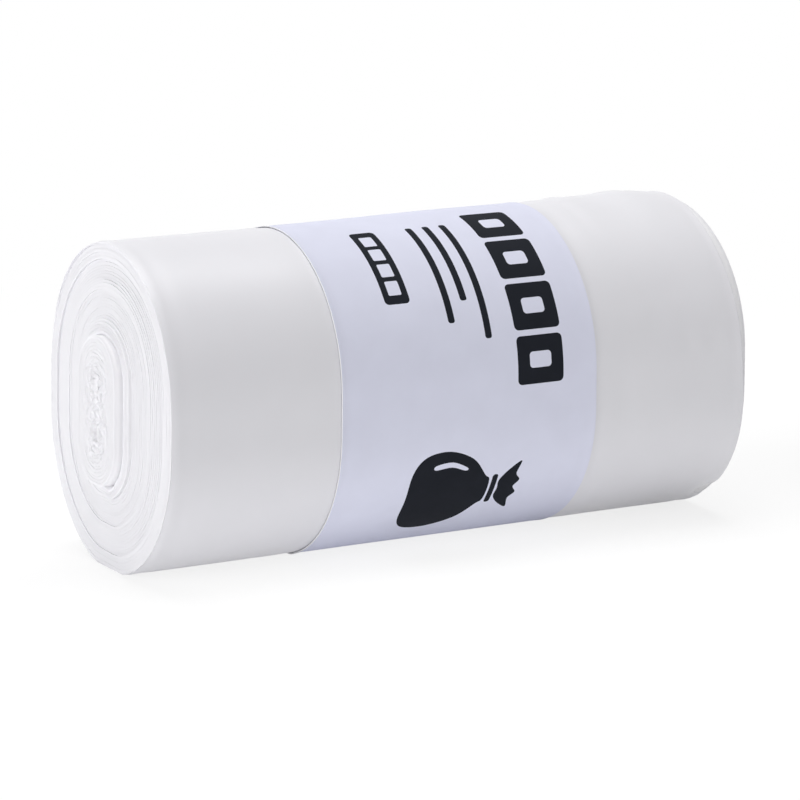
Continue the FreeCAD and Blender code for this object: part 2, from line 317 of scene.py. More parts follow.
    def noise_over_section(scale_y, scale_z, offset, detail=1.0, per_turn=0.0):
        """Noise over the roll's section, as it was before the start crumpled."""
        along = turn * per_turn + seed + offset
        return noise_at(tree, flat_y * scale_y, flat_z * scale_z, along, detail)

    push_y = noise_over_section(0.3, 0.26, 7.0, detail=3.0) * core * given["Crumple"]
    push_z = noise_over_section(0.3, 0.26, 19.0, detail=3.0) * core * given["Crumple"]
    hollow = noise_at(tree, turn * 2.3, flat_z * 0.42, seed + 31.0) * turn.step(given["Hollow Turns"], 0.4)
    hollow = (hollow * given["Hollow"] - 0.1).clamped(-0.5, given["Hollow Depth"]) * (1.0 - deep)
    radius = radius - hollow - deep * turn.step(1.2, 0.0) * given["Start Radius"]

    # Only here and there does a bundle leave an open gap. A few wide ones lie at the top, towards the back.
    gaping = noise_round(0.9, per_turn=1.3, offset=25.0).step(0.6, 1.2)
    high_up = (up * 0.85 + ahead * 0.35).step(0.5, 0.85)
    for below_rim in WIDE_GAPS_BELOW_RIM:
        from_gap = (even - given["Rim Radius"] + below_rim) / pitch
        gaping = gaping + (from_gap * from_gap * -2.0).math("EXPONENT") * high_up * given["Wide Gap"]
    share = given["Bundle Fill"] - gaping * given["Gap Share"] * (1.0 - deep)
    share = share * (1.0 - last) * (1.0 - squeezed)
    sag = at_far_end * even.step(given["Sag Start"], given["Sag End"])
    sag = sag * (up * 0.6 - ahead).step(-0.6, 0.4) * given["Far Sag"]
    radius = radius + across * pitch * share * 0.5 - sag
    height = up * radius + upright * straight * 0.5 + push_z
    lowest = (given["Outer Radius"] - radius) * given["Flat Squeeze"] - given["Middle Height"]
    height = height.math("MAXIMUM", lowest + (2 * LOOSE_FILM + 0.2))
    middle_lean = (given["Near Lean"] + given["Far Lean"]) * 0.5
    lean = middle_lean + end * (given["Far Lean"] - given["Near Lean"]) * 0.5
    y = ahead * radius + push_y + lean * height

    # How far each turn slid along the axis.
    slide = given["Plug Slide"] + opened * (given["Ring Slide"] - given["Plug Slide"])
    ring_to_mid = given["Mid Slide"] - given["Ring Slide"]
    slide = slide + after_turn_at("Ring Radius", "Step Turns") * ring_to_mid
    ring_to_rim = given["Rim Radius"] - given["Ring Radius"]
    outwards = ((even - given["Ring Radius"]) / ring_to_rim).clamped(0.0, 1.0)
    sunk = given["Outer Slide"] * (up * 0.3 + 0.7)
    slide = slide + outwards * (sunk - given["Mid Slide"])
    in_groove = after_turn_at("Groove Radius", "Groove Turns")
    in_groove = in_groove - even.step(given["Groove Radius"], given["Rim Radius"])
    slide = slide + in_groove * given["Groove Step"]
    slide = slide - after_turn_at("Rim Radius", "Step Turns") * sunk
    back_rim = (even - given["Rim Radius"]) / (given["Outer Radius"] - given["Rim Radius"])
    slide = slide - back_rim.clamped(0.0, 1.0) * ahead.step(0.1, 0.9) * given["Back Rim"]
    wander = noise_round(0.8, per_turn=0.55, offset=40.0, detail=2.0)
    flutter = noise_over_section(0.11, 0.11, 80.0, per_turn=1.7)
    crumpled = noise_over_section(0.7, 0.65, 60.0, detail=4.0)
    slide = slide + wander * given["Slide Wander"] * (high_up * 1.1 + 0.45)
    slide = slide + flutter * given["Slide Flutter"] + crumpled * core * given["Crumple Slide"]
    x = end * (given["Strip Width"] * 0.5 - inset) - slide + height * given["End Tilt"]

    # Two numbers are kept for the film's material: the wound depth, by which it draws the single turns,
    # and how far in from a turn's edge a point lies, where the material paints the film lighter: painted
    # light standing in for the light that comes through the film.
    last_step = tube.outputs["Mesh"]
    for name, value in (("wound_depth", radius), ("in_from_edge", deep)):
        keep = tree.nodes.new("GeometryNodeStoreNamedAttribute")
        keep.data_type = "FLOAT"
        keep.domain = "POINT"
        keep.inputs["Name"].default_value = name
        tree.links.new(last_step, keep.inputs["Geometry"])
        value.put(keep.inputs["Value"])
        last_step = keep.outputs["Geometry"]
    place = tree.nodes.new("GeometryNodeSetPosition")
    tree.links.new(last_step, place.inputs["Geometry"])
    scaled = tree.nodes.new("ShaderNodeVectorMath")
    scaled.operation = "SCALE"
    scaled.inputs["Scale"].default_value = MM
    tree.links.new(vector_of(tree, x, y, height + given["Middle Height"]), scaled.inputs[0])
    tree.links.new(scaled.outputs[0], place.inputs["Position"])

    # The turns' cut edges are sharp, but those of the crumpled start and of the turns round it are soft.
    smooth = tree.nodes.new("GeometryNodeSetShadeSmooth")
    edge_angle = tree.nodes.new("GeometryNodeInputMeshEdgeAngle")
    wound_depth = tree.nodes.new("GeometryNodeInputNamedAttribute")
    wound_depth.inputs["Name"].default_value = "wound_depth"
    cut_edge = Number(tree, edge_angle.outputs["Unsigned Angle"]).math("GREATER_THAN", SHARP_ANGLE)
    soft_to = given["Ring Radius"] + given["Smooth Core"]
    cut_edge = cut_edge * Number(tree, wound_depth.outputs["Attribute"]).math("GREATER_THAN", soft_to)
    cut_sharp = tree.nodes.new("GeometryNodeSetShadeSmooth")
    cut_sharp.domain = "EDGE"
    cut_sharp.inputs["Shade Smooth"].default_value = False
    cut_edge.put(cut_sharp.inputs["Selection"])
    realized = tree.nodes.new("GeometryNodeRealizeInstances")
    painted = tree.nodes.new("GeometryNodeSetMaterial")
    tree.links.new(group_in.outputs["Film"], painted.inputs["Material"])
    in_order = (place, smooth, cut_sharp, realized, painted, group_out)
    for before, after in zip(in_order, in_order[1:]):
        tree.links.new(before.outputs[0], after.inputs[0])
    return tree


def noise_texture(tree, where, scale, detail):
    """The factor of a noise texture, from 0 to 1."""
    node = tree.nodes.new("ShaderNodeTexNoise")
    node.inputs["Scale"].default_value = scale
    node.inputs["Detail"].default_value = detail
    tree.links.new(where, node.inputs["Vector"])
    return node.outputs[0]


def milky_film(name, see_through, roughness):
    """Milky polyethylene: a satin film, faintly streaked by its making and a little see-through."""
    material = bpy.data.materials.new(name)
    material.use_nodes = True
    tree = material.node_tree
    nodes, links = tree.nodes, tree.links
    shader = nodes["Principled BSDF"]
    where = nodes.new("ShaderNodeTexCoord").outputs["Object"]
    stretched = nodes.new("ShaderNodeMapping")
    stretched.inputs["Scale"].default_value = (900, 40, 40)
    links.new(where, stretched.inputs["Vector"])
    streaks = noise_texture(tree, stretched.outputs[0], scale=1.0, detail=3.0)
    clouds = noise_texture(tree, where, scale=55.0, detail=3.0)
    wrinkles = noise_texture(tree, where, scale=260.0, detail=4.0)

    colour = nodes.new("ShaderNodeMix")
    colour.data_type = "RGBA"
    colour.inputs["A"].default_value = (0.755, 0.75, 0.785, 1)
    colour.inputs["B"].default_value = (0.785, 0.78, 0.815, 1)
    links.new(clouds, colour.inputs["Factor"])
    # Painted light: deep in the gaps between bundles the film gets a much lighter colour, standing in for
    # light that comes through the film there.
    in_gap = nodes.new("ShaderNodeAttribute")
    in_gap.attribute_name = "in_from_edge"
    painted_light_in_gaps = nodes.new("ShaderNodeMix")
    painted_light_in_gaps.data_type = "RGBA"
    painted_light_in_gaps.inputs["B"].default_value = (0.955, 0.95, 0.975, 1)
    (Number(tree, in_gap.outputs["Fac"]) * 1.6).clamped(0.0, 1.0).put(painted_light_in_gaps.inputs["Factor"])
    links.new(colour.outputs["Result"], painted_light_in_gaps.inputs["A"])
    links.new(painted_light_in_gaps.outputs["Result"], shader.inputs["Base Color"])
    rough = nodes.new("ShaderNodeMapRange")
    rough.inputs["To Min"].default_value = roughness - 0.06
    rough.inputs["To Max"].default_value = roughness + 0.08
    links.new(streaks, rough.inputs["Value"])
    links.new(rough.outputs[0], shader.inputs["Roughness"])

    depth = nodes.new("ShaderNodeAttribute")
    depth.attribute_name = "wound_depth"
    single_turns = nodes.new("ShaderNodeTexNoise")
    single_turns.noise_dimensions = "1D"
    single_turns.inputs["Scale"].default_value = 1 / SINGLE_TURN_NOISE
    single_turns.inputs["Detail"].default_value = 2.0
    links.new(depth.outputs["Fac"], single_turns.inputs["W"])
    height = 0.0
    heights = ((wrinkles, 0.03), (streaks, 0.02), (clouds, 0.09), (single_turns.outputs[0], 0.02))
    for pattern, most in heights:
        height = Number(tree, pattern) * most + height
    bump = nodes.new("ShaderNodeBump")
    bump.inputs["Strength"].default_value = 0.6
    bump.inputs["Distance"].default_value = MM
    height.put(bump.inputs["Height"])
    links.new(bump.outputs[0], shader.inputs["Normal"])
    shader.inputs["Subsurface Weight"].default_value = see_through
    shader.inputs["Subsurface Radius"].default_value = (1.0, 1.0, 1.0)
    shader.inputs["Subsurface Scale"].default_value = 2.0 * MM
    shader.inputs["IOR"].default_value = 1.5
    return material


def made_by_nodes(name, tree, **inputs):
    """The mesh that a Geometry Nodes tree makes, as a plain object."""
    holder = put_in_scene(name + "_rule", bpy.data.meshes.new(name + "_rule"))
    modifier = holder.modifiers.new("rule", "NODES")
    modifier.node_group = tree
    for item in tree.interface.items_tree:
        if item.in_out == "INPUT" and item.name in inputs:
            modifier[item.identifier] = inputs[item.name]
    evaluated = holder.evaluated_get(bpy.context.evaluated_depsgraph_get())
    mesh = bpy.data.meshes.new_from_object(evaluated)
    mesh.name = name
    bpy.data.objects.remove(holder)
    return put_in_scene(name, mesh)


film_edges_seen = milky_film("film_edges", see_through=0.25, roughness=0.6)
wound_turns = made_by_nodes("wound_turns", wound_turns_tree(), Film=film_edges_seen)
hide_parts("bag_roll")
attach(wound_turns, "root")

# Outermost turns
#
# The last two turns of the strip lie smooth round the roll. They are pinched a little by the band, their
# far edge falls short at the top, and the last one ends in a torn perforation low at the back.

ROUND_THE_ROLL = 2 * math.pi * ROLL_RADIUS + 2 * WINDING_FLAT
QUARTER = math.pi / 2 * ROLL_RADIUS
band_low, band_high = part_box("paper_band")
BAND_NEAR = band_low.x / MM
BAND_FAR = band_high.x / MM
BAND_PINCH = 0.19
PINCH_REACH = 9.0
TAIL_AT = 205.0
SHORT_AT_TOP = 3.6
SHORT_UNDER_IT = 0.85
FAR_SWELL = 0.85
SWELL_START = -45
SWELL_END = 25
SWELL_HALF_WIDTH = 32
LOOSE_FOLD = 0.75
LOOSE_FOLD_AT = 85
LOOSE_FOLD_HALF_WIDTH = 7
LOOSE_HALF_WIDTH = 22
END_DENT = 0.14
END_ROUNDING = 0.35
FAR_EDGE_CURL = 0.15
TEAR = 0.5
EDGE_BUNCHING = 0.35
OVER_TABLE = 0.02
OVER_TABLE_IN_BAND = 0.27


def rise(value, start, end):
    """0 before start, 1 after end, and a smooth rise between them."""
    share = max(0.0, min(1.0, (value - start) / (end - start)))
    return share * share * (3 - 2 * share)


def on_the_roll(along, down, beyond, lowest=0.0):
    """A point beyond the roll's side by some mm. down goes round from the top line over the front."""
    down = down % ROUND_THE_ROLL
    side = -1
    if down > ROUND_THE_ROLL / 2:
        down = ROUND_THE_ROLL - down
        side = 1
    radius = ROLL_RADIUS + beyond
    if QUARTER <= down <= QUARTER + WINDING_FLAT:
        across = radius
        height = WINDING_FLAT / 2 - (down - QUARTER)
    else:
        below = -1 if down > QUARTER else 1
        turned = (down if below > 0 else down - WINDING_FLAT) / ROLL_RADIUS
        across = radius * math.sin(turned)
        height = radius * math.cos(turned) + below * WINDING_FLAT / 2
    height = max(height, lowest - MIDDLE_HEIGHT)
    lean = NEAR_LEAN + (FAR_LEAN - NEAR_LEAN) * (along / STRIP_WIDTH + 0.5)
    return Vector((along, side * across + lean * height, height + MIDDLE_HEIGHT)) * MM


def soft_noise(along, down, scale, seed):
    """Smooth noise on the roll's side, the same after a full turn."""
    turned = down / ROUND_THE_ROLL * 2 * math.pi
    ring = Vector((along, ROLL_RADIUS * math.cos(turned), ROLL_RADIUS * math.sin(turned)))
    return noise.noise(ring / scale + Vector((seed, 0, 0)))


# Dents in the side: place along the roll, place round it, half width along and round, and depth.
DENTS = [
    (-53.0, 66.0, 3.0, 5.0, 0.10),
    (-68.0, 74.0, 2.0, 3.0, 0.05),
    (81.0, 68.0, 3.0, 3.6, 0.4),
    (92.0, 69.0, 3.2, 4.0, 0.3),
    (66.0, 52.0, 6.0, 3.0, 0.2),
    (78.0, 50.0, 6.0, 3.0, 0.22),
    (70.0, 60.0, 2.8, 6.0, 0.2),
    (57.0, 84.0, 3.0, 12.0, 0.25),
    (103.0, 132.0, 3.5, 5.0, 1.6),
    (-30.0, 250.0, 5.0, 8.0, 0.4),
]
# Folds beside the band: place along the roll, place round it, half width along and round, and height.
FOLDS = [(53.5, 4.0, 1.3, 16.0, 0.15), (62.0, 0.0, 1.6, 20.0, 0.25), (-53.0, 4.0, 2.0, 22.0, 0.12)]
# Slack waves of the film: height, size and seed.
SLACK_WAVES = [(0.12, 34, 5), (0.02, 11, 15)]
# Steps up in the loose film on top: height, and where along the roll they start and end.
LOOSE_STEPS = [(0.35, 50, 53), (0.4, 58, 61)]
# Waves of the strip's two edges: height, size, seed, and what each turn adds to the seed.
NEAR_EDGE_WAVES = [(0.45, 16, 30, 9), (0.28, 4, 60, 1)]
FAR_EDGE_WAVES = [(0.3, 20, 80, 7)]


def bell(distance, width):
    """1 in the middle of a bell curve, and near 0 at twice its width."""
    return math.exp(-(distance / width) ** 2)


def past_top(down):
    """How far a place is past the top line, or below 0 on the way up to it from the back."""
    return (down + 100) % ROUND_THE_ROLL - 100


def swell(along, down):
    """How far the roll's far half is thicker at the top."""
    return FAR_SWELL * rise(along, SWELL_START, SWELL_END) * bell(past_top(down), SWELL_HALF_WIDTH)


def loose_top(along, down):
    """Height of the loose film on top, between the band and the far end: two steps and a fold."""
    height = sum(step * rise(along, start, end) for step, start, end in LOOSE_STEPS)
    height += LOOSE_FOLD * bell(along - LOOSE_FOLD_AT, LOOSE_FOLD_HALF_WIDTH)
    height *= bell(past_top(down + 4), LOOSE_HALF_WIDTH)
    return height * rise(along, STRIP_WIDTH / 2, STRIP_WIDTH / 2 - 12)


def film_relief(along, down):
    """Height of the outermost film over its even form, in mm."""
    pinch = rise(along, BAND_NEAR - PINCH_REACH, BAND_NEAR)
    pinch *= rise(along, BAND_FAR + PINCH_REACH, BAND_FAR)
    from_end = STRIP_WIDTH / 2 - abs(along)
    free = (1 - pinch) * rise(from_end, 0, 16)
    relief = -BAND_PINCH * pinch
    for height, size, seed in SLACK_WAVES:
        relief += free * height * soft_noise(along, down, size, seed)
    for place, turned, width, length, depth in DENTS:
        relief -= depth * bell(along - place, width) * bell(down - turned, length)
    for place, turned, width, length, height in FOLDS:
        relief += height * bell(along - place, width) * bell(down - turned, length)
    relief -= END_DENT * bell(from_end - 5.0, 2.6)
    relief -= END_ROUNDING * rise(from_end, 1.6, 0.0)
    return relief + swell(along, down) + loose_top(along, down)


def facing_front(down):
    """1 where the side faces the front, -1 at the back, and between them over the top and below."""
    down = down % ROUND_THE_ROLL
    front = 1 if down < ROUND_THE_ROLL / 2 else -1
    from_top = min(down, ROUND_THE_ROLL - down)
    turned = min(from_top, max(QUARTER, from_top - WINDING_FLAT)) / ROLL_RADIUS
    return front * math.sin(turned)


def edge_waves(waves, down, turn_left):
    """How far an edge of the strip lies out of line, where it is turn_left turns from the strip's end."""
    out_of_line = 0
    for height, size, seed, per_turn in waves:
        out_of_line += height * soft_noise(0, down, size, seed + per_turn * turn_left)
    return out_of_line


def film_edges(down, turn_left):
    """Places along the roll of the strip's near and far edge, turn_left turns from the strip's end."""
    near = edge_waves(NEAR_EDGE_WAVES, down, turn_left)
    near += BACK_RIM * rise(-facing_front(down), 0.1, 0.9)
    far = edge_waves(FAR_EDGE_WAVES, down, turn_left)
    short = rise(down, 120, 30) * rise(down, -50, 30)
    share = 1.0 if turn_left < 1 else SHORT_UNDER_IT
    return -STRIP_WIDTH / 2 + near, STRIP_WIDTH / 2 + far - SHORT_AT_TOP * short * share


def outermost_turns(name, turns, rows_per_turn, columns):
    """A closed thin sheet wound round the roll, fine on its outer side."""
    rows = round(turns * rows_per_turn)
    thickness = LOOSE_FILM * 0.9
    fractions = []
    for i in range(columns + 1):
        bunched = 0.5 - 0.5 * math.cos(math.pi * i / columns)
        fractions.append(EDGE_BUNCHING * bunched + (1 - EDGE_BUNCHING) * i / columns)
    verts, faces = [], []
    for row in range(rows + 1):
        turn_left = turns * (1 - row / rows)
        down = TAIL_AT - turn_left * ROUND_THE_ROLL
        round_down = (down - TAIL_AT) % ROUND_THE_ROLL + TAIL_AT - ROUND_THE_ROLL
        if row == rows:
            round_down = TAIL_AT
        near, far = film_edges(round_down, turn_left)
        under = LOOSE_FILM * turn_left
        for column, fraction in enumerate(fractions):
            along = near + (far - near) * fraction
            torn = 0.0
            if row == rows:
                torn = TEAR if column % 2 else -TEAR
            relief = film_relief(along, round_down)
            relief += FAR_EDGE_CURL * rise(round_down, 120, 60) * bell(far - along, 1.4)
            inside_band = BAND_NEAR - 1 < along < BAND_FAR + 1
            lowest = OVER_TABLE_IN_BAND if inside_band else OVER_TABLE
            verts.append(on_the_roll(along, down + torn, relief - under, lowest + under))
        for along in (near, far):
            relief = film_relief(along, round_down) - under - thickness
            verts.append(on_the_roll(along, down, relief, OVER_TABLE + under + thickness))
    width = columns + 3
    for row in range(rows):
        a, b = row * width, (row + 1) * width
        for column in range(columns):
            faces.append((a + column, b + column, b + column + 1, a + column + 1))
        faces.append((a + columns, b + columns, b + columns + 2, a + columns + 2))
        faces.append((a + columns + 1, a + columns + 2, b + columns + 2, b + columns + 1))
        faces.append((a, a + columns + 1, b + columns + 1, b))
    last = rows * width
    faces.append(list(range(columns + 1)) + [columns + 2, columns + 1])
    faces.append([last + columns + 1, last + columns + 2] + [last + c for c in range(columns, -1, -1)])
    mesh = bpy.data.meshes.new(name)
    mesh.from_pydata(verts, [], faces)
    mesh.shade_smooth()
    mesh.set_sharp_from_angle(angle=SHARP_ANGLE)
    mesh.materials.append(milky_film("milky_film", see_through=0.0, roughness=0.42))
    return put_in_scene(name, mesh)


outer_turns = outermost_turns("outermost_turns", turns=2, rows_per_turn=132, columns=90)
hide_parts("bag_roll")
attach(outer_turns, "root")

# Paper band
#
# A strip of matt violet-white paper is wrapped tight round the roll's middle and glued to itself at the
# back. Its print is one dark colour: a tied bag, a row of blocks for the bags on the strip, and bars.

BAND_MIDDLE = (BAND_NEAR + BAND_FAR) / 2
BAND_WIDTH = BAND_FAR - BAND_NEAR
PAPER = 0.2
PAPER_CLEARANCE = 0.05
PAPER_PINCH = 0.15
LAP_EDGE = math.radians(12)
LAP = 15.0
LAP_LIFT = 1.1 * PAPER
PAPER_STEP = 1.6
PAPER_COLUMNS = 24
EDGE_INSETS = (0.4, 0.9, 1.8)
CORNER_PARTS = 4
MERGED_WITHIN = 1e-4
ON_EDGE_WITHIN = 1e-3
CORE_MATERIAL = 2
# Name, darker and lighter colour, and gloss. Bare paper comes first, then ink, then the cut edges.
PAPER_MATERIALS = [
    ("violet_paper", (0.7, 0.71, 0.835), (0.76, 0.775, 0.91), 0.25),
    ("charcoal_ink", (0.011, 0.013, 0.018), (0.017, 0.019, 0.026), 0.07),
    ("white_paper_core", (0.86, 0.86, 0.87), (0.9, 0.9, 0.91), 0.25),
]


def rounded_box(low, high, corner):
    """A box between two corner points, with round corners, as a loop of points."""
    loop = []
    corners = ((high[0], high[1]), (low[0], high[1]), (low[0], low[1]), (high[0], low[1]))
    for number, (x, y) in enumerate(corners):
        centre_x = x - corner if x == high[0] else x + corner
        centre_y = y - corner if y == high[1] else y + corner
        for part in range(CORNER_PARTS + 1):
            turned = (number + part / CORNER_PARTS) * math.pi / 2
            loop.append((centre_x + corner * math.cos(turned), centre_y + corner * math.sin(turned)))
    return loop


def smooth_loop(points, parts=5):
    """A smooth closed curve through the points."""
    loop = []
    count = len(points)
    for i in range(count):
        before, here, after, beyond = [Vector(points[(i + k) % count]) for k in (-1, 0, 1, 2)]
        for part in range(parts):
            t = part / parts
            spot = 2 * here + (after - before) * t
            spot += (2 * before - 5 * here + 4 * after - beyond) * t ** 2
            spot += (3 * here - before - 3 * after + beyond) * t ** 3
            loop.append((spot.x / 2, spot.y / 2))
    return loop


def mirrored(half):
    """A loop made of its right half, drawn from the bottom up, and the same on the left."""
    return half + [(-x, y) for x, y in reversed(half) if x > 0]


def moved(loop, place):
    return [(x + place[0], y + place[1]) for x, y in loop]


def close_spaced(loop, longest=1.2):
    """The loop with more points on its long edges, so that they can follow the paper round the roll."""
    close = []
    for (x0, y0), (x1, y1) in zip(loop, loop[1:] + loop[:1]):
        parts = max(1, math.ceil(math.hypot(x1 - x0, y1 - y0) / longest))
        for part in range(parts):
            close.append((x0 + (x1 - x0) * part / parts, y0 + (y1 - y0) * part / parts))
    return close


def printed_loops():
    """Outlines of the ink. The first number goes round the roll from its top line, the second along it."""
    sack = [(0, -18), (10, -17.6), (15.6, -13.5), (16.8, -5), (13.2, 4), (6.5, 9.6), (4.2, 11.6)]
    shine = [(-12.2, -9.5), (-12.8, -3.5), (-10.2, 2.2), (-9.2, 1.6), (-11.0, -3.6), (-10.6, -9.5)]
    ears = [(0, 15.6), (3.6, 15.4), (7.4, 18.2), (10.4, 22.4), (5.6, 21.4), (2.8, 23.2), (0, 21.6)]
    bag = [smooth_loop(mirrored(sack)), smooth_loop(shine), smooth_loop(mirrored(ears))]
    bag.append(rounded_box((-6.2, 12.6), (6.2, 14.6), 0.9))
    loops = [moved(loop, (112, -2)) for loop in bag]
    for block in range(4):
        start = 8 + 17.5 * block
        loops.append(rounded_box((start, 17), (start + 15.6, 34), 1.6))
        loops.append(rounded_box((start + 5.2, 21.5), (start + 10.4, 29.5), 1.2))
    for number, length in enumerate((46, 33, 40)):
        loops.append(rounded_box((14, 6 - 6.2 * number), (14 + length, 8.4 - 6.2 * number), 0.8))
    loops.append(rounded_box((14, -27), (46, -18), 1.5))
    for number in range(4):
        loops.append(rounded_box((17 + 6.9 * number, -24.8), (22.2 + 6.9 * number, -20.2), 0.5))
    return [close_spaced(loop) for loop in loops]


def inside(spot, loop):
    """Whether the spot lies within the loop."""
    crossings = 0
    for (x0, y0), (x1, y1) in zip(loop, loop[1:] + loop[:1]):
        if (y0 > spot[1]) != (y1 > spot[1]) and spot[0] < x0 + (spot[1] - y0) / (y1 - y0) * (x1 - x0):
            crossings += 1
    return crossings % 2 == 1


def fibre_group():
    """Paper fibres: a height and a mottle, from the place on the paper."""
    tree = bpy.data.node_groups.new("paper_fibres", "ShaderNodeTree")
    tree.interface.new_socket("Fibre Scale", in_out="INPUT", socket_type="NodeSocketFloat")
    tree.interface.new_socket("Height", in_out="OUTPUT", socket_type="NodeSocketFloat")
    tree.interface.new_socket("Mottle", in_out="OUTPUT", socket_type="NodeSocketFloat")
    group_in = tree.nodes.new("NodeGroupInput")
    group_out = tree.nodes.new("NodeGroupOutput")
    where = tree.nodes.new("ShaderNodeTexCoord")
    fibres = tree.nodes.new("ShaderNodeTexNoise")
    fibres.inputs["Detail"].default_value = 5.0
    fibres.inputs["Distortion"].default_value = 1.5
    tree.links.new(where.outputs["Object"], fibres.inputs["Vector"])
    tree.links.new(group_in.outputs["Fibre Scale"], fibres.inputs["Scale"])
    mottle = noise_texture(tree, where.outputs["Object"], scale=90.0, detail=4.0)
    tree.links.new(fibres.outputs[0], group_out.inputs["Height"])
    tree.links.new(mottle, group_out.inputs["Mottle"])
    return tree


def paper_material(name, dark, light, gloss, fibres):
    """Matt paper, bare or printed: mottled colour and a fine fibre relief."""
    material = bpy.data.materials.new(name)
    material.use_nodes = True
    nodes, links = material.node_tree.nodes, material.node_tree.links
    shader = nodes["Principled BSDF"]
    group = nodes.new("ShaderNodeGroup")
    group.node_tree = fibres
    group.inputs["Fibre Scale"].default_value = 1400.0
    colour = nodes.new("ShaderNodeMix")
    colour.data_type = "RGBA"
    colour.inputs["A"].default_value = dark + (1,)
    colour.inputs["B"].default_value = light + (1,)
    links.new(group.outputs["Mottle"], colour.inputs["Factor"])
    links.new(colour.outputs["Result"], shader.inputs["Base Color"])
    bump = nodes.new("ShaderNodeBump")
    bump.inputs["Strength"].default_value = 0.35
    bump.inputs["Distance"].default_value = 0.05 * MM
    links.new(group.outputs["Height"], bump.inputs["Height"])
    links.new(bump.outputs[0], shader.inputs["Normal"])
    shader.inputs["Roughness"].default_value = 0.75
    shader.inputs["Specular IOR Level"].default_value = gloss
    return material


def band_relief(across, down):
    """Height of the paper over its even form. across goes from the band's middle towards the far end."""
    return 0.05 * soft_noise(across, down, 26, 120) - PAPER_PINCH + swell(across + BAND_MIDDLE, down)


def curl(across, down):
    """How far the outer side stands up at the paper's two edges."""
    near_curl = 0.12 + 0.18 * rise(down, 5, 40)
    far_curl = 0.35 * (0.5 + 0.5 * soft_noise(0, down, 30, 140))
    from_near, from_far = BAND_WIDTH / 2 + across, BAND_WIDTH / 2 - across
    return near_curl * bell(from_near, 1.0) + far_curl * bell(from_far, 1.6)


def band_grid(first, last):
    """Points and edges of the unrolled paper: rows across it, closer together at its two edges."""
    rows = round((last - first) / PAPER_STEP)
    half = BAND_WIDTH / 2
    acrosses = [BAND_WIDTH * (column / PAPER_COLUMNS - 0.5) for column in range(PAPER_COLUMNS + 1)]
    acrosses += [side * (half - inset) for side in (-1, 1) for inset in EDGE_INSETS]
    acrosses.sort()
    spots = []
    for row in range(rows + 1):
        down = first + (last - first) * row / rows
        spots += [Vector((down, across)) for across in acrosses]
    width = len(acrosses)
    edges = [(row * width + c, (row + 1) * width + c) for row in range(rows) for c in (0, width - 1)]
    edges += [(row * width + c, row * width + c + 1) for row in (0, rows) for c in range(width - 1)]
    return spots, edges


def points_on_line(spots, axis, value):
    """The points where one coordinate has a value, in order of the other coordinate."""
    found = [i for i, spot in enumerate(spots) if abs(spot[axis] - value) < ON_EDGE_WITHIN]
    return sorted(found, key=lambda i: spots[i][1 - axis])


def paper_band():
    """The band with its print cut in: ink and bare paper are faces of one closed sheet."""
    lap_edge = -(math.pi / 2 - LAP_EDGE) * ROLL_RADIUS
    first, last = lap_edge - LAP, lap_edge + ROUND_THE_ROLL
    half = BAND_WIDTH / 2
    spots, edges = band_grid(first, last)
    loops = printed_loops()
    for loop in loops:
        base = len(spots)
        spots += [Vector(spot) for spot in loop]
        edges += [(base + i, base + (i + 1) % len(loop)) for i in range(len(loop))]
    spots, _, faces, _, _, _ = delaunay_2d_cdt(spots, edges, [], 0, MERGED_WITHIN)

    def place(spot, beyond):
        down, across = spot
        over_lap = LAP_LIFT * rise(down, last - LAP - 3, last - LAP + 1)
        relief = band_relief(across, down) + over_lap + PAPER_CLEARANCE + beyond
        relief += curl(across, down) * beyond / PAPER
        return on_the_roll(BAND_MIDDLE + across, down, relief, PAPER - beyond)

    verts = [place(spot, PAPER) for spot in spots]
    ink = []
    for face in faces:
        centre = sum((spots[corner] for corner in face), Vector((0, 0))) / 3
        ink.append(sum(inside(centre, loop) for loop in loops) % 2)

    # The inner side has only long faces between the two edges, and the rim joins it to the outer side.
    near = points_on_line(spots, 1, -half)
    far = points_on_line(spots, 1, half)
    start = points_on_line(spots, 0, first)
    finish = points_on_line(spots, 0, last)
    under = {}
    for i in near + far + start + finish:
        if i not in under:
            under[i] = len(verts)
            verts.append(place(spots[i], 0.0))
    walls = []
    for line, turned in ((near, True), (far, False), (start, False), (finish, True)):
        for a, b in zip(line, line[1:]):
            wall = (a, b, under[b], under[a])
            walls.append(wall[::-1] if turned else wall)
    inner = []
    for i in range(len(near) - 1):
        low = start if i == 0 else [near[i], far[i]]
        high = finish if i == len(near) - 2 else [near[i + 1], far[i + 1]]
        inner.append([under[j] for j in low + high[::-1]])
    mesh = bpy.data.meshes.new("paper_band_printed")
    mesh.from_pydata(verts, [], [tuple(face) for face in faces] + walls + inner)
    mesh.shade_smooth()
    mesh.set_sharp_from_angle(angle=SHARP_ANGLE)
    fibres = fibre_group()
    for name, dark, light, gloss in PAPER_MATERIALS:
        mesh.materials.append(paper_material(name, dark, light, gloss, fibres))
    for face, is_ink in zip(mesh.polygons, ink):
        face.material_index = is_ink
    for face in mesh.polygons[len(faces):len(faces) + len(walls)]:
        face.material_index = CORE_MATERIAL
    return put_in_scene("paper_band_printed", mesh)


band = paper_band()
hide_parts("paper_band")
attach(band, "root")

# Floor and studio light
#
# A wide, plain white table. Its soft glow is painted light: it stands in for the light that a white table
# throws back up onto the roll. For the camera it is nearly white, and it keeps the roll's shadow. Places
# and distances here are in metres.

AMBIENT = 0.28
PAINTED_TABLE_GLOW = 0.33
NEAR_WHITE = 0.78
WHITE = (1, 1, 1, 1)
FLOOR_REACH = 6
FAR_SHADE = 0.75
SHADE_BESIDE = (0.025, 0.11)
SHADE_ALONG = (-0.03, 0.1)
CONTACT_GLOW = 0.35
CONTACT_REACH = 0.05
WHITE_BEYOND = (0.12, 0.5)
world = bpy.data.worlds.new("studio")
world.use_nodes = True
bpy.context.scene.world = world
ambient = world.node_tree.nodes["Background"]
ambient.inputs["Color"].default_value = WHITE
ambient.inputs["Strength"].default_value = AMBIENT


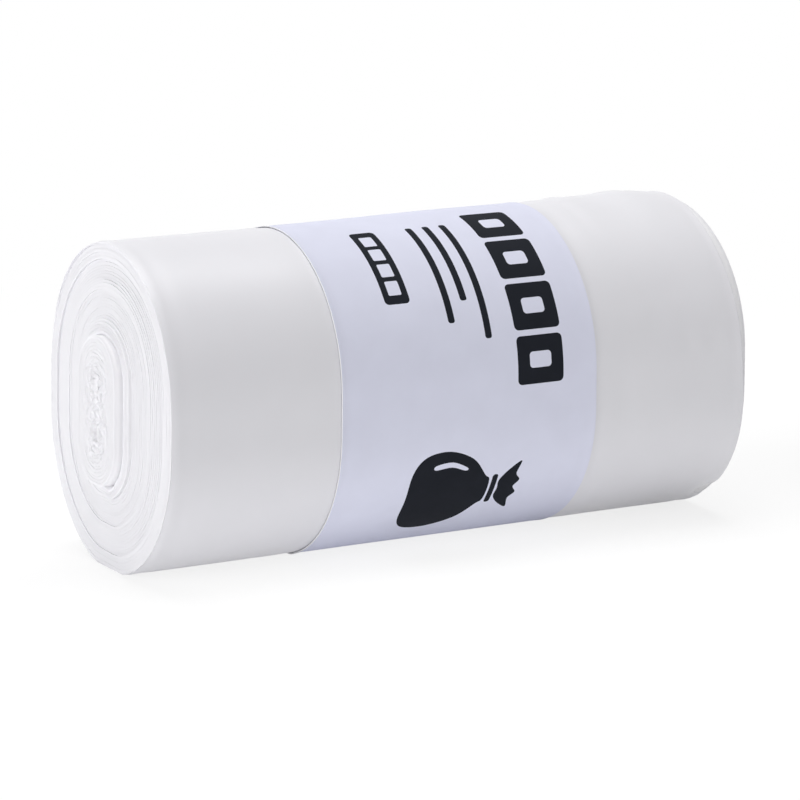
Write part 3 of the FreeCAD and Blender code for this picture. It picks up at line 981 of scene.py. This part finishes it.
def seen_plainly(tree):
    """1 where a camera ray, or a ray that a gloss or a clear surface sends on, meets the surface."""
    path = tree.nodes.new("ShaderNodeLightPath")
    seen = Number(tree, path.outputs["Is Camera Ray"])
    for name in ("Is Glossy Ray", "Is Transmission Ray"):
        seen = seen.math("MAXIMUM", Number(tree, path.outputs[name]))
    return seen


white_sky = world.node_tree.nodes.new("ShaderNodeBackground")
white_sky.inputs["Color"].default_value = WHITE
choose_sky = world.node_tree.nodes.new("ShaderNodeMixShader")
seen_plainly(world.node_tree).put(choose_sky.inputs[0])
world.node_tree.links.new(ambient.outputs[0], choose_sky.inputs[1])
world.node_tree.links.new(white_sky.outputs[0], choose_sky.inputs[2])
world.node_tree.links.new(choose_sky.outputs[0], world.node_tree.nodes["World Output"].inputs[0])

floor_mesh = bpy.data.meshes.new("floor")
floor_corners = [(x * FLOOR_REACH, y * FLOOR_REACH, 0) for x, y in ((-1, -1), (1, -1), (1, 1), (-1, 1))]
floor_mesh.from_pydata(floor_corners, [], [(0, 1, 2, 3)])
white_table = bpy.data.materials.new("white_table")
white_table.use_nodes = True
table_tree = white_table.node_tree
table_shader = table_tree.nodes["Principled BSDF"]
table_shader.inputs["Base Color"].default_value = (0.85, 0.85, 0.85, 1)
table_shader.inputs["Roughness"].default_value = 0.9
table_shader.inputs["Specular IOR Level"].default_value = 0.0
table_shader.inputs["Emission Color"].default_value = WHITE
glow = table_tree.nodes.new("ShaderNodeEmission")
glow.inputs["Color"].default_value = WHITE
choose_table = table_tree.nodes.new("ShaderNodeMixShader")
place_on_table = table_tree.nodes.new("ShaderNodeTexCoord")
split_place = table_tree.nodes.new("ShaderNodeSeparateXYZ")
table_tree.links.new(place_on_table.outputs["Object"], split_place.inputs[0])

# Painted shade: the table glows less beside the roll's far half, and less still under the roll, so that the
# roll's underside comes out darker there.
sideways = Number(table_tree, split_place.outputs["Y"]).math("ABSOLUTE")
away = sideways.step(*SHADE_BESIDE)
far_half = Number(table_tree, split_place.outputs["X"]).step(*SHADE_ALONG)
from_contact = sideways.step(0.0, CONTACT_REACH) * (1 - CONTACT_GLOW) + CONTACT_GLOW
open_table = (1.0 - far_half * (1.0 - away) * FAR_SHADE) * from_contact
# Painted light: the table's glow lights the roll from below, cut back where painted shade is wanted.
(open_table * PAINTED_TABLE_GLOW).put(table_shader.inputs["Emission Strength"])
from_roll = table_tree.nodes.new("ShaderNodeVectorMath")
from_roll.operation = "LENGTH"
table_tree.links.new(place_on_table.outputs["Object"], from_roll.inputs[0])
fading = Number(table_tree, from_roll.outputs["Value"]).step(*WHITE_BEYOND)
(seen_plainly(table_tree) * (fading * (1 - NEAR_WHITE) + NEAR_WHITE)).put(choose_table.inputs[0])
table_tree.links.new(table_shader.outputs[0], choose_table.inputs[1])
table_tree.links.new(glow.outputs[0], choose_table.inputs[2])
table_tree.links.new(choose_table.outputs[0], table_tree.nodes["Material Output"].inputs[0])
floor_mesh.materials.append(white_table)
floor = put_in_scene("floor", floor_mesh)


def soft_light(name, place, size, power):
    """A square soft light that looks at the roll's middle."""
    data = bpy.data.lights.new(name, "AREA")
    data.size = size
    data.energy = power
    lamp = put_in_scene(name, data)
    lamp.location = place
    aim = Vector((0, 0, MIDDLE_HEIGHT * MM)) - Vector(place)
    lamp.rotation_euler = aim.to_track_quat("-Z", "Y").to_euler()


soft_light("left_window", (-1.65, -0.15, 0.35), 0.9, 15.2)
soft_light("top_softbox", (0.1, 0.15, 1.6), 1.1, 18)

bpy.context.scene.view_settings.view_transform = "Standard"
